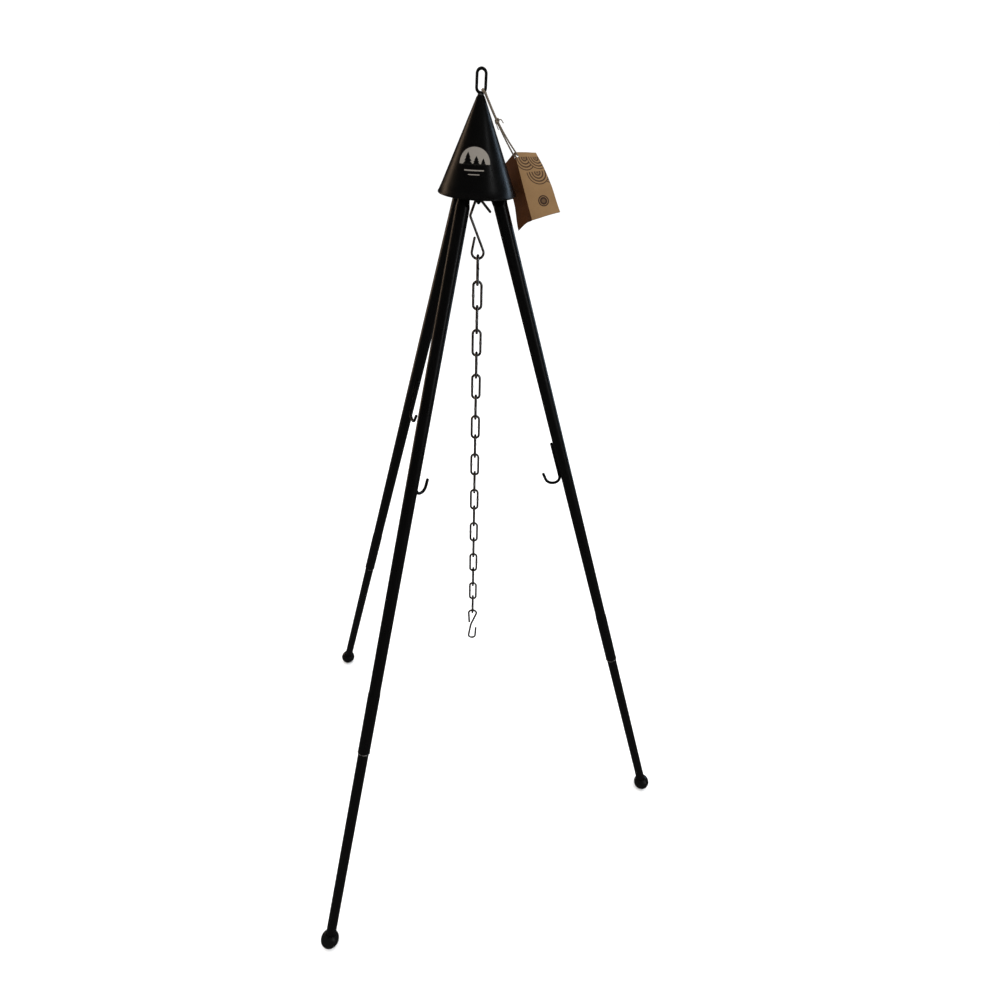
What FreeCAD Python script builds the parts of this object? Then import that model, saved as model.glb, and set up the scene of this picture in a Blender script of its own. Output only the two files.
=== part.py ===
import math
import os
import re

import FreeCAD
import Part
import Sketcher
from FreeCAD import Placement, Rotation, Vector

os.makedirs("parts", exist_ok=True)
doc = FreeCAD.newDocument("campfire_tripod")

# ---------------------------------------------------------------- driving dimensions
# Lengths are millimetres and angles degrees. Heights called "level" are above the ground.
DIMENSIONS = [
    ("pin_level", 924.0),
    ("pin_reach", 18.0),
    ("pin_radius", 2.5),
    ("tube_radius", 7.0),
    ("tube_bore", 6.1),
    ("socket_radius", 7.45),
    ("socket_bore", 6.75),
    ("socket_start", 568.0),
    ("socket_end", 652.0),
    ("flare_length", 6.0),
    ("tongue_half_width", 9.0),
    ("tongue_half_thick", 1.7),
    ("tongue_length", 6.3),
    ("crimp_length", 12.0),
    ("lower_radius", 6.7),
    ("lower_bore", 5.8),
    ("ball_radius", 12.15),
    ("ball_seat", 4.0),
    ("steep_tilt", 17.04),
    ("wide_tilt", 19.37),
    ("right_heading", -6.25),
    ("back_heading", 139.96),
    ("front_heading", -121.0),
    ("cheek_gap", 2.1),
    ("cheek_thick", 2.0),
    ("cheek_reach", 5.5),
    ("plate_rise", 10.5),
    ("plate_pitch", 3.5),
    ("plate_thick", 3.0),
    ("plate_eye", 7.5),
    ("rod_radius", 4.0),
    ("rod_run", 4.08),
    ("pin_run", 2.56),
    ("rivet_radius", 4.5),
    ("rivet_thick", 1.6),
    ("rivet_face", 2.7),
    ("rivet_gap", 0.15),
    ("seat_gap", 0.05),
    ("rod_foot", 917.0),
    ("rod_top", 984.0),
    ("stack_gap", 0.4),
    ("collar_radius", 6.4),
    ("collar_thick", 4.3),
    ("nut_flats", 11.0),
    ("nut_thick", 5.0),
    ("disc_level", 972.0),
    ("disc_thick", 4.0),
    ("hood_rim_level", 915.4),
    ("hood_rim_radius", 38.0),
    ("hood_top_level", 997.4),
    ("hood_top_radius", 3.2),
    ("hood_wall", 1.1),
    ("hood_lean", 1.6),
    ("disc_gap", 2.1),
    ("hem_height", 3.0),
    ("hem_lip", 0.7),
    ("stem_radius", 1.6),
    ("stem_hole", 1.65),
    ("loop_wire", 1.35),
    ("loop_bend", 4.05),
    ("loop_centre_level", 1013.4),
    ("loop_straight", 10.5),
    ("stem_foot", 986.0),
    ("eye_wire", 1.3),
    ("eye_bend", 5.2),
    ("eye_centre_level", 914.9),
    ("eye_point_level", 904.1),
    ("eye_point_bend", 3.0),
    ("eye_heading", 68.0),
    ("hook_wire", 1.3),
    ("hook_saddle_bend", 3.8),
    ("hook_belly_bend", 6.0),
    ("hang_offset", 1.8),
    ("hang_gap", 0.3),
    ("link_wire", 1.4),
    ("link_bend", 4.3),
    ("link_straight", 20.5),
    ("link_pitch", 26.0),
    ("first_link_level", 843.1),
    ("pot_wire", 1.4),
    ("pot_eye_bend", 5.5),
    ("pot_belly_bend", 4.8),
    ("leg_hook_wire", 1.8),
    ("leg_hook_bend", 8.4),
    ("leg_hook_shank", 45.0),
    ("leg_hook_tip", 6.0),
    ("leg_hook_flare", 2.0),
    ("right_hook_drop", 331.0),
    ("back_hook_drop", 290.0),
    ("front_hook_drop", 304.0),
    ("back_hook_turn", -25.0),
    ("weld_depth", 0.3),
    ("twine_radius", 0.8),
    ("twine_bend", 40.0),
    ("hitch_radius", 2.4),
    ("card_length", 64.0),
    ("card_width", 30.0),
    ("card_thick", 0.6),
    ("card_hole", 1.4),
]

sheet = doc.addObject("Spreadsheet::Sheet", "Dims")
for row, (alias, value) in enumerate(DIMENSIONS, start=1):
    sheet.set("A%d" % row, alias)
    sheet.set("B%d" % row, str(value))
    sheet.setAlias("B%d" % row, alias)
doc.recompute()


def dim(alias):
    return float(sheet.get(alias))


def bind(item, **sizes):
    """Binds each named size of a document object to a formula of sheet cells."""
    for size, formula in sizes.items():
        item.setExpression(size, re.sub(r"\b([a-z]+_[a-z_]+)\b", r"Dims.\1", formula))
    return item


# ---------------------------------------------------------------- small builders
def cylinder(name, radius, height, place=Placement()):
    item = bind(doc.addObject("Part::Cylinder", name), Radius=radius, Height=height)
    item.Placement = place
    return item


def frustum(name, low, high, height, place=Placement()):
    item = bind(doc.addObject("Part::Cone", name), Radius1=low, Radius2=high, Height=height)
    item.Placement = place
    return item


def ball(name, radius, place=Placement()):
    item = bind(doc.addObject("Part::Sphere", name), Radius=radius)
    item.Placement = place
    return item


def box(name, length, width, height, place=Placement()):
    item = bind(doc.addObject("Part::Box", name), Length=length, Width=width, Height=height)
    item.Placement = place
    return item


def fused(name, items):
    item = doc.addObject("Part::MultiFuse", name)
    item.Shapes = items
    return item


def cut(name, base, tool):
    item = doc.addObject("Part::Cut", name)
    item.Base = base
    item.Tool = tool
    return item


def common(name, items):
    item = doc.addObject("Part::MultiCommon", name)
    item.Shapes = items
    return item


def at(x=0.0, y=0.0, z=0.0, rotation=Rotation()):
    return Placement(Vector(x, y, z), rotation)


ALONG_Y = Rotation(Vector(1, 0, 0), -90)  # turns a piece that stands along Z to lie along +Y
UPRIGHT = Rotation(Vector(1, 0, 0), 90)  # stands a piece drawn in XY up in the XZ plane
PARTS = []


def finish(item, label, place=Placement()):
    """Names a finished sub-part and puts it where it belongs on the object."""
    item.Label = label
    item.Placement = place
    PARTS.append(item)
    return item


# ---------------------------------------------------------------- wires bent from rod
def rounded_route(points, bends, closed=False):
    """Straight runs through the points, with an arc of the given radius at each corner."""
    count = len(points)
    corners = range(count) if closed else range(1, count - 1)
    arcs = {}
    for i in corners:
        before = (points[i - 1] - points[i]).normalize()
        after = (points[(i + 1) % count] - points[i]).normalize()
        half = before.getAngle(after) / 2
        bend = bends[i]
        reach = bend / math.tan(half)
        middle = points[i] + (before + after).normalize() * (bend / math.sin(half) - bend)
        arcs[i] = (points[i] + before * reach, middle, points[i] + after * reach)
    edges = []
    if closed:
        start = (arcs[count - 1][2] + arcs[0][0]) * 0.5
    else:
        start = points[0]
    here = start
    for i in corners:
        enter, middle, leave = arcs[i]
        if (enter - here).Length > 1e-4:
            edges.append(Part.LineSegment(here, enter).toShape())
        edges.append(Part.Arc(enter, middle, leave).toShape())
        here = leave
    finish_point = start if closed else points[-1]
    if (finish_point - here).Length > 1e-4:
        edges.append(Part.LineSegment(here, finish_point).toShape())
    return Part.Wire(edges)


def swept_wire(name, wire_radius, points, bends, closed=False, round_ends=True):
    """A round wire along a rounded route, with domed ends unless it closes on itself."""
    path = rounded_route(points, bends, closed)
    route = doc.addObject("Part::Feature", name + "_route")
    route.Shape = path
    first = path.OrderedEdges[0]
    start = first.valueAt(first.FirstParameter)
    heading = first.tangentAt(first.FirstParameter)
    section = bind(doc.addObject("Part::Circle", name + "_section"), Radius=wire_radius)
    section.Placement = Placement(start, Rotation(Vector(0, 0, 1), heading))
    sweep = doc.addObject("Part::Sweep", name + "_sweep")
    sweep.Sections = [section]
    sweep.Spine = (route, ["Edge%d" % (i + 1) for i in range(len(path.Edges))])
    sweep.Solid = True
    sweep.Frenet = False
    if closed or not round_ends:
        return sweep
    ends = [ball(name + "_tip%d" % i, wire_radius, Placement(p, Rotation()))
            for i, p in enumerate((points[0], points[-1]))]
    return fused(name, [sweep] + ends)


def round_turn(entry, leave, centre, bend, up, right_first):
    """The two corners that take a route from entry round a circle to leave.

    All points are (across, height). up is +1 where the turn goes over the circle's top
    and -1 where it goes under its bottom.
    """
    corners = []
    for point, right in ((entry, right_first), (leave, not right_first)):
        to_centre = Vector(centre[0] - point[0], centre[1] - point[1], 0)
        swing = math.asin(bend / to_centre.Length)
        side = 1 if right else -1
        turn = swing * side * (-1 if to_centre.y > 0 else 1)
        angle = math.atan2(to_centre.y, to_centre.x) + turn
        level = centre[1] + up * bend
        steps = (level - point[1]) / math.sin(angle)
        corners.append((point[0] + steps * math.cos(angle), level))
    return corners


def upright(points):
    return [Vector(x, 0, z) for x, z in points]


# ---------------------------------------------------------------- stance
leg_drop = dim("pin_level") - dim("ball_radius")
# Each leg's name, heading, tilt and layer on the rod, then how far below the pin its hook
# sits and how far the hook is turned round the tube.
LEGS = [
    ("right", dim("right_heading"), dim("steep_tilt"), 2, dim("right_hook_drop"), 0.0),
    ("back", dim("back_heading"), dim("wide_tilt"), 1, dim("back_hook_drop"),
     dim("back_hook_turn")),
    ("front", dim("front_heading"), dim("wide_tilt"), 0, dim("front_hook_drop"), 0.0),
]
leg_length = leg_drop / math.cos(math.radians(dim("steep_tilt")))


def foot_spot(heading, tilt):
    reach = dim("pin_reach") + leg_drop * math.tan(math.radians(tilt))
    return (reach * math.cos(math.radians(heading)), reach * math.sin(math.radians(heading)))


# The origin is on the ground at the middle of the stance's bounding box.
feet = [foot_spot(leg[1], leg[2]) for leg in LEGS]
hub_x = -(max(x for x, _ in feet) + min(x for x, _ in feet)) / 2
hub_y = -(max(y for _, y in feet) + min(y for _, y in feet)) / 2
HUB = at(hub_x, hub_y, 0)


def turned(heading):
    return HUB * at(rotation=Rotation(Vector(0, 0, 1), heading))


# ---------------------------------------------------------------- legs
def tongue_section(name, half_thick, level):
    """An oval across the leg: the tube's section where it is pressed flat."""
    item = bind(doc.addObject("Part::Ellipse", name), MajorRadius="tongue_half_width",
                MinorRadius=half_thick)
    item.Placement = at(z=level)
    return item


def upper_tube(side):
    tongue = dim("tongue_length")
    crimp = dim("crimp_length")
    oval = tongue_section(side + "_oval", "tongue_half_thick", -tongue)
    blade = doc.addObject("Part::Extrusion", side + "_blade")
    blade.Base = oval
    blade.Dir = Vector(0, 0, 1)
    blade.Solid = True
    bind(blade, LengthFwd="tongue_length + tongue_half_width")
    nose = cylinder(side + "_nose", "tongue_half_width", "4 * tongue_half_thick",
                    at(y=-2 * dim("tongue_half_thick"), rotation=ALONG_Y))
    shank = box(side + "_shank", "2 * tongue_half_width", "4 * tongue_half_thick",
                "tongue_length", at(-dim("tongue_half_width"), -2 * dim("tongue_half_thick"),
                                    -tongue))
    outline = fused(side + "_outline", [nose, shank])
    blade_end = common(side + "_blade_end", [blade, outline])
    low_ring = bind(doc.addObject("Part::Circle", side + "_ring"), Radius="tube_radius")
    low_ring.Placement = at(z=-tongue - crimp)
    high_oval = tongue_section(side + "_oval_end", "tongue_half_thick", -tongue)
    crimped = doc.addObject("Part::Loft", side + "_crimp")
    crimped.Sections = [low_ring, high_oval]
    crimped.Solid = True
    plain = cylinder(side + "_plain", "tube_radius",
                     "socket_start - tongue_length - crimp_length - flare_length",
                     at(z=-dim("socket_start") + dim("flare_length")))
    flare = frustum(side + "_flare", "socket_radius", "tube_radius", "flare_length",
                    at(z=-dim("socket_start")))
    socket = cylinder(side + "_socket", "socket_radius", "socket_end - socket_start",
                      at(z=-dim("socket_end")))
    skin = fused(side + "_skin", [blade_end, crimped, plain, flare, socket])
    bore = cylinder(side + "_bore", "tube_bore",
                    "socket_end - tongue_length - crimp_length", at(z=-dim("socket_end")))
    mouth = cylinder(side + "_mouth", "socket_bore", "socket_end - socket_start",
                     at(z=-dim("socket_end")))
    pin_hole = cylinder(side + "_pin_hole", "pin_radius", "4 * tongue_half_thick",
                        at(y=-2 * dim("tongue_half_thick"), rotation=ALONG_Y))
    return cut(side + "_upper", skin, fused(side + "_hollows", [bore, mouth, pin_hole]))


def lower_tube(side):
    height = "%s - ball_seat - socket_start - seat_gap" % leg_length
    skin = cylinder(side + "_lower_skin", "lower_radius", height)
    bore = cylinder(side + "_lower_bore", "lower_bore", height)
    return cut(side + "_lower", skin, bore)


def ball_foot(side):
    whole = ball(side + "_ball", "ball_radius")
    socket = cylinder(side + "_ball_socket", "lower_radius", "ball_radius",
                      at(z=dim("ball_seat")))
    return cut(side + "_foot", whole, socket)


def hinge_pin(side):
    half = dim("cheek_gap") + dim("cheek_thick") + dim("rivet_gap")
    shaft = cylinder(side + "_pin_shaft", "pin_radius",
                     "2 * ( cheek_gap + cheek_thick + rivet_gap )",
                     at(y=-half, rotation=ALONG_Y))
    heads = [frustum(side + "_head%d" % i, "rivet_radius", "rivet_face", "rivet_thick",
                     at(y=sign * half, rotation=Rotation(Vector(1, 0, 0), -90 * sign)))
             for i, sign in enumerate((1, -1))]
    return fused(side + "_pin", [shaft] + heads)


def leg_hook(side, drop):
    """A J of round rod with a flared tip, welded by its shank to the tube's inner side."""
    shank = -(dim("tube_radius") + dim("leg_hook_wire") - dim("weld_depth"))
    bend = dim("leg_hook_bend")
    start = -drop + dim("leg_hook_shank")
    tip = shank - 2 * bend
    points = upright([(shank, start), (shank, -drop - bend), (tip, -drop - bend),
                      (tip - dim("leg_hook_flare"), -drop + dim("leg_hook_tip"))])
    return swept_wire(side + "_hook", "leg_hook_wire", points, [0, bend, bend, 0])


def swivel_arm(side, layer):
    """A bent bracket: a plate that turns on the centre rod, and two cheeks for the pin."""
    reach = dim("pin_reach")
    rise = dim("plate_rise") + layer * dim("plate_pitch")
    rise_formula = "plate_rise + %d * plate_pitch" % layer
    half = dim("cheek_gap") + dim("cheek_thick")
    pieces = [cylinder(side + "_eye", "plate_eye", "plate_thick", at(z=rise))]
    pieces.append(box(side + "_plate", "pin_reach + cheek_reach",
                      "2 * cheek_gap + 2 * cheek_thick", "plate_thick", at(0, -half, rise)))
    for i, y in enumerate((-half, dim("cheek_gap"))):
        pieces.append(box(side + "_cheek%d" % i, "2 * cheek_reach", "cheek_thick", rise_formula,
                          at(reach - dim("cheek_reach"), y, 0)))
        pieces.append(cylinder(side + "_lobe%d" % i, "cheek_reach", "cheek_thick",
                               at(reach, y, 0, ALONG_Y)))
    body = fused(side + "_bracket", pieces)
    rod_hole = cylinder(side + "_rod_hole", "rod_run", "3 * plate_thick",
                        at(z=rise - dim("plate_thick")))
    pin_hole = cylinder(side + "_arm_hole", "pin_run", "4 * cheek_gap + 4 * cheek_thick",
                        at(reach, -2 * half, 0, ALONG_Y))
    return cut(side + "_arm", body, fused(side + "_arm_holes", [rod_hole, pin_hole]))


for side, heading, tilt, layer, hook_drop, hook_turn in LEGS:
    own_length = leg_drop / math.cos(math.radians(tilt))
    pulled_out = own_length - leg_length
    arm_place = turned(heading) * at(z=dim("pin_level"))
    leg_place = arm_place * at(dim("pin_reach"), 0, 0, Rotation(Vector(0, 1, 0), -tilt))
    finish(swivel_arm(side, layer), "swivel_arm_" + side, arm_place)
    finish(hinge_pin(side), "hinge_pin_" + side, leg_place)
    finish(upper_tube(side), "upper_tube_" + side, leg_place)
    finish(leg_hook(side, hook_drop), "leg_hook_" + side,
           leg_place * at(rotation=Rotation(Vector(0, 0, 1), hook_turn)))
    finish(lower_tube(side), "lower_tube_" + side,
           leg_place * at(z=-own_length + dim("ball_seat")))
    finish(ball_foot(side), "ball_foot_" + side, leg_place * at(z=-own_length))
    print(side, "leg: pin to ball %.1f, pulled out %.2f" % (own_length, pulled_out))
print("hub axis at %.3f, %.3f" % (hub_x, hub_y))


# ---------------------------------------------------------------- hub
def centre_rod():
    return cylinder("rod", "rod_radius", "rod_top - rod_foot")


def rod_collar():
    ring = cylinder("collar_ring", "collar_radius", "collar_thick")
    return cut("collar", ring, cylinder("collar_hole", "rod_radius", "collar_thick"))


def lock_nut():
    hexagon = doc.addObject("Part::Prism", "nut_hex")
    hexagon.Polygon = 6
    bind(hexagon, Circumradius="nut_flats / sqrt(3)", Height="nut_thick")
    return cut("nut", hexagon, cylinder("nut_hole", "rod_radius", "nut_thick"))


SLOPE = "( hood_rim_radius - hood_top_radius ) / ( hood_top_level - hood_rim_level )"
hood_slope = (dim("hood_rim_radius") - dim("hood_top_radius")) / (
    dim("hood_top_level") - dim("hood_rim_level"))


def hood_disc():
    """A disc on the rod whose bevelled edge the leaning hood rests against."""
    low = ("hood_rim_radius - hood_wall - disc_gap - ( disc_level - hood_rim_level ) * "
           + SLOPE)
    ring = frustum("disc_ring", low, low + " - disc_thick * " + SLOPE, "disc_thick")
    return cut("disc", ring, cylinder("disc_hole", "rod_radius", "disc_thick"))


def cone_hood():
    """A cone of sheet steel, turned about the rod, with a thicker hem at its rim."""
    body = doc.addObject("PartDesign::Body", "HoodBody")
    plane = next(f for f in body.Origin.OriginFeatures if f.Role == "XZ_Plane")
    profile = body.newObject("Sketcher::SketchObject", "HoodProfile")
    profile.AttachmentSupport = [(plane, "")]
    profile.MapMode = "FlatFace"
    low, high = dim("hood_rim_level"), dim("hood_top_level")
    wide, narrow = dim("hood_rim_radius"), dim("hood_top_radius")
    wall, hem, lip = dim("hood_wall"), dim("hem_height"), dim("hem_lip")
    hem_radius = wide - hem * hood_slope
    inner_top = high - wall
    points = [
        (wide + lip, low), (hem_radius + lip, low + hem), (hem_radius, low + hem),
        (narrow, high), (dim("stem_hole"), high), (dim("stem_hole"), inner_top),
        (narrow - wall + wall * hood_slope, inner_top), (wide - wall, low),
    ]
    for i, (x, z) in enumerate(points):
        nx, nz = points[(i + 1) % len(points)]
        profile.addGeometry(Part.LineSegment(Vector(x, z, 0), Vector(nx, nz, 0)), False)
    for i in range(len(points)):
        profile.addConstraint(
            Sketcher.Constraint("Coincident", i, 2, (i + 1) % len(points), 1))
    formulas = [
        ("hood_rim_radius + hem_lip", "hood_rim_level"),
        ("hood_rim_radius + hem_lip - hem_height * " + SLOPE, "hood_rim_level + hem_height"),
        ("hood_rim_radius - hem_height * " + SLOPE, "hood_rim_level + hem_height"),
        ("hood_top_radius", "hood_top_level"),
        ("stem_hole", "hood_top_level"),
        ("stem_hole", "hood_top_level - hood_wall"),
        ("hood_top_radius - hood_wall + hood_wall * " + SLOPE, "hood_top_level - hood_wall"),
        ("hood_rim_radius - hood_wall", "hood_rim_level"),
    ]
    for i, (x, z) in enumerate(points):
        for kind, value, formula in (("DistanceX", x, formulas[i][0]),
                                     ("DistanceY", z, formulas[i][1])):
            number = profile.addConstraint(Sketcher.Constraint(kind, -1, 1, i, 1, value))
            bind(profile, **{"Constraints[%d]" % number: formula})
    turned_hood = body.newObject("PartDesign::Revolution", "HoodTurn")
    turned_hood.Profile = profile
    turned_hood.ReferenceAxis = (profile, ["V_Axis"])
    turned_hood.Angle = 360
    return body


def long_loop(name, bend, wire, straight):
    """A long link about the origin: two half rings joined by two straight sides, in XZ."""
    pieces = []
    for end, turn in ((1, 0), (-1, 180)):
        bow = bind(doc.addObject("Part::Torus", "%s_bow%d" % (name, turn)),
                   Radius1=bend, Radius2=wire)
        bow.Angle3 = 180
        bow.Placement = at(z=end * dim(straight) / 2,
                           rotation=Rotation(Vector(0, 1, 0), turn) * UPRIGHT)
        pieces.append(bow)
    for side in (1, -1):
        pieces.append(cylinder("%s_side%d" % (name, side + 1), wire, straight,
                               at(side * dim(bend), 0, -dim(straight) / 2)))
    return pieces


def top_loop():
    """The carrying loop, about its own middle, with a stem down into the hood's point."""
    stem = cylinder("loop_stem", "stem_radius",
                    "loop_centre_level - loop_straight - loop_bend - stem_foot",
                    at(z=dim("stem_foot") - loop_level))
    return fused("loop_whole", long_loop("loop", "loop_bend", "loop_wire", "loop_straight")
                 + [stem])


def centre_eye():
    """A closed drop of wire under the rod, with its point at the bottom."""
    point = (0, dim("eye_point_level"))
    bend = dim("eye_bend")
    corners = round_turn(point, point, (0, dim("eye_centre_level")), bend, 1, True)
    return swept_wire("eye", "eye_wire", upright([point] + corners),
                      [dim("eye_point_bend"), bend, bend], closed=True)


stack_level = dim("pin_level") + dim("plate_rise")
collar_level = stack_level - dim("collar_thick") - dim("stack_gap")
nut_level = stack_level + 2 * dim("plate_pitch") + dim("plate_thick") + dim("stack_gap")
loop_level = dim("loop_centre_level") - dim("loop_straight") / 2
# The hood hangs loose on the rod and leans a little to the right, and the loop with it.
LEANING = (HUB * at(z=dim("hood_rim_level"),
                    rotation=Rotation(Vector(0, 1, 0), dim("hood_lean")))
           * at(z=-dim("hood_rim_level")))
HANGING = HUB * at(dim("hang_offset"))
finish(centre_rod(), "centre_rod", HUB * at(z=dim("rod_foot")))
finish(rod_collar(), "rod_collar", HUB * at(z=collar_level))
finish(lock_nut(), "lock_nut", HUB * at(z=nut_level))
finish(hood_disc(), "hood_disc", HUB * at(z=dim("disc_level")))
finish(cone_hood(), "cone_hood", LEANING)
finish(top_loop(), "top_loop", LEANING * at(z=loop_level))
finish(centre_eye(), "centre_eye",
       HANGING * at(rotation=Rotation(Vector(0, 0, 1), dim("eye_heading"))))


# ---------------------------------------------------------------- hanging chain
# Corners of the hook's wire that its two round turns do not give: across and height.
HOOK_SPARE_END = (11.4, 899.8)
HOOK_WAIST = (-8.2, 895.4)
HOOK_TIP = (-3.6, 874.8)
HOOK_WAIST_BEND = 2.6


def chain_hook():
    """One bent wire: a saddle over the centre eye, a long twist and a round belly."""
    saddle_bend, belly_bend = dim("hook_saddle_bend"), dim("hook_belly_bend")
    eye_inside = dim("eye_point_level") + 2 * dim("eye_wire")
    saddle = (0, eye_inside + dim("hang_gap") / 3)
    link_top = dim("first_link_level") + dim("link_straight") / 2 + dim("link_bend")
    belly = (-dim("hang_gap"), link_top - dim("link_wire") - dim("hang_gap") - dim("hook_wire")
             + belly_bend)
    over = round_turn(HOOK_SPARE_END, HOOK_WAIST, saddle, saddle_bend, 1, True)
    under = round_turn(HOOK_WAIST, HOOK_TIP, belly, belly_bend, -1, True)
    points = upright([HOOK_SPARE_END] + over + [HOOK_WAIST] + under + [HOOK_TIP])
    bends = [0, saddle_bend, saddle_bend, HOOK_WAIST_BEND, belly_bend, belly_bend, 0]
    return swept_wire("chain_hook", "hook_wire", points, bends)


def chain_link(name):
    return fused(name, long_loop(name, "link_bend", "link_wire", "link_straight"))


LINK_COUNT = 19
finish(chain_hook(), "chain_hook", HANGING)
for number in range(LINK_COUNT):
    edge_on = 90 if number % 2 == 0 else 0
    level = dim("first_link_level") - number * dim("link_pitch")
    finish(chain_link("link%02d" % (number + 1)), "chain_link_%02d" % (number + 1),
           HANGING * at(z=level, rotation=Rotation(Vector(0, 0, 1), edge_on)))


# Corners of the pot hook's wire, across and below the top of its eye.
POT_EYE_END = (-4.6, 23.2)
POT_CROSSING = (-2.3, 28.7)
POT_BELLY = (-0.6, 50.3)
POT_TIP = (5.0, 35.2)
POT_CROSSING_BEND = 20.0


def pot_hook():
    """A wire teardrop eye whose long end runs on into an open J."""
    last = dim("first_link_level") - (LINK_COUNT - 1) * dim("link_pitch")
    link_foot = last - dim("link_straight") / 2 - dim("link_bend")
    eye_top = link_foot + dim("link_wire") + dim("hang_gap") + dim("pot_wire")
    bend, low_bend = dim("pot_eye_bend"), dim("pot_belly_bend")
    eye_end, crossing, belly, tip = [(across, eye_top - down) for across, down in (
        POT_EYE_END, POT_CROSSING, POT_BELLY, POT_TIP)]
    over = round_turn(eye_end, crossing, (0, eye_top - bend), bend, 1, False)
    under = round_turn(crossing, tip, belly, low_bend, -1, False)
    points = upright([eye_end] + over + [crossing] + under + [tip])
    bends = [0, bend, bend, POT_CROSSING_BEND, low_bend, low_bend, 0]
    return swept_wire("pot_hook", "pot_wire", points, bends)


finish(pot_hook(), "pot_hook", HANGING)

# ---------------------------------------------------------------- hang tag
# Places on the tag are measured from the hub axis: across, towards the back, height.
HITCH = Vector(6.45, -1.7, 998.8)
KNOT = Vector(17.4, 4.0, 977.1)
FOLD_TOP = Vector(34.7, 11.7, 951.5)
FOLD_END = Vector(54.6, -13.0, 895.7)
FRONT_LEAF = Vector(0.904, 0.42, 0.071)
BACK_LEAF = Vector(-0.35, 0.84, -0.4)
HOLE_ALONG, HOLE_ACROSS = 4.0, 3.0
STRAND_GAP = 0.15


def tag_card():
    """A folded card, drawn as a V across its fold and drawn out along the fold."""
    down = (FOLD_END - FOLD_TOP).normalize()
    front = (FRONT_LEAF - down * FRONT_LEAF.dot(down)).normalize()
    back = (BACK_LEAF - down * BACK_LEAF.dot(down)).normalize()
    wide, thick = dim("card_width"), dim("card_thick")
    inside = (front + back).normalize()
    inner = inside * (thick / math.sin(front.getAngle(back) / 2))
    front_in = (back - front * back.dot(front)).normalize() * thick
    back_in = (front - back * front.dot(back)).normalize() * thick
    corners = [Vector(), front * wide, front * wide + front_in, inner,
               back * wide + back_in, back * wide]
    outline = Part.Face(Part.makePolygon([FOLD_TOP + c for c in corners + corners[:1]]))
    leaf = outline.extrude(down * dim("card_length"))
    hole_spot = FOLD_TOP + down * HOLE_ALONG + front * HOLE_ACROSS
    through = front_in.normalize()
    hole = Part.makeCylinder(dim("card_hole"), 4 * thick, hole_spot - through * thick, through)
    card = doc.addObject("Part::Feature", "card")
    card.Shape = leaf.cut(hole)
    return card, hole_spot + through * thick


def twine_strand(name, spots):
    """One strand of the twine, with its length and volume checked against its arcs."""
    bend = dim("twine_bend")
    strand = swept_wire(name, "twine_radius", spots, [0, bend, 0], round_ends=False)
    doc.recompute()
    length = rounded_route(spots, [0, bend, 0]).Length
    volume = length * math.pi * dim("twine_radius") ** 2
    print("%s: arc radius %.0f, %.1f long, volume %.2f, section x length %.2f" % (
        name, bend, length, strand.Shape.Volume, volume))
    return strand


card, strand_end = tag_card()
finish(card, "tag_card", HUB)
# The hitch goes round the loop's wire, half way up its lower right bend.
HITCH_ANGLE = 45
hitch = bind(doc.addObject("Part::Torus", "hitch"), Radius1="hitch_radius",
             Radius2="twine_radius")
round_loop = math.radians(HITCH_ANGLE)
wire_spot = at(dim("loop_bend") * math.sin(round_loop), 0,
               -dim("loop_straight") / 2 - dim("loop_bend") * math.cos(round_loop),
               Rotation(Vector(0, 1, 0), 90 - HITCH_ANGLE))
finish(hitch, "tag_hitch", LEANING * at(z=loop_level) * wire_spot)
beside = Vector(0.35, 0.94, 0.0).normalize() * (dim("twine_radius") + STRAND_GAP)
for name, side in (("a", 1), ("b", -1)):
    spots = [spot + beside * side for spot in (HITCH, KNOT, strand_end)]
    finish(twine_strand("twine_" + name, spots), "tag_twine_" + name, HUB)
knot = bind(doc.addObject("Part::Ellipsoid", "knot"), Radius1="3 * twine_radius",
            Radius2="3.6 * twine_radius", Radius3="3 * twine_radius")
finish(knot, "tag_knot", HUB * Placement(KNOT, Rotation()))
doc.recompute()

# ---------------------------------------------------------------- checks and export
for item in doc.Objects:
    bad = [word for word in item.State if word in ("Invalid", "Error")]
    if bad:
        raise RuntimeError("%s is %s" % (item.Label, bad))
for item in PARTS:
    shape = item.Shape
    if shape.isNull() or not shape.isValid() or not shape.Solids:
        raise RuntimeError("%s has no valid solid" % item.Label)
    if len(shape.Solids) != 1:
        print("note: %s has %d solids" % (item.Label, len(shape.Solids)))
    shape.exportStep("parts/%s.step" % item.Label)
print("%d sub-parts written" % len(PARTS))
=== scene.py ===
"""A campfire tripod: three telescoping legs under a sheet steel hood, with a chain and hooks.

Run as a script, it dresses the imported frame: it gives every node its finish and adds the small
pieces that the frame leaves out.
"""

import math

import bpy
from bpy.props import FloatProperty, FloatVectorProperty, IntProperty, PointerProperty
from mathutils import Matrix, Vector


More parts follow.
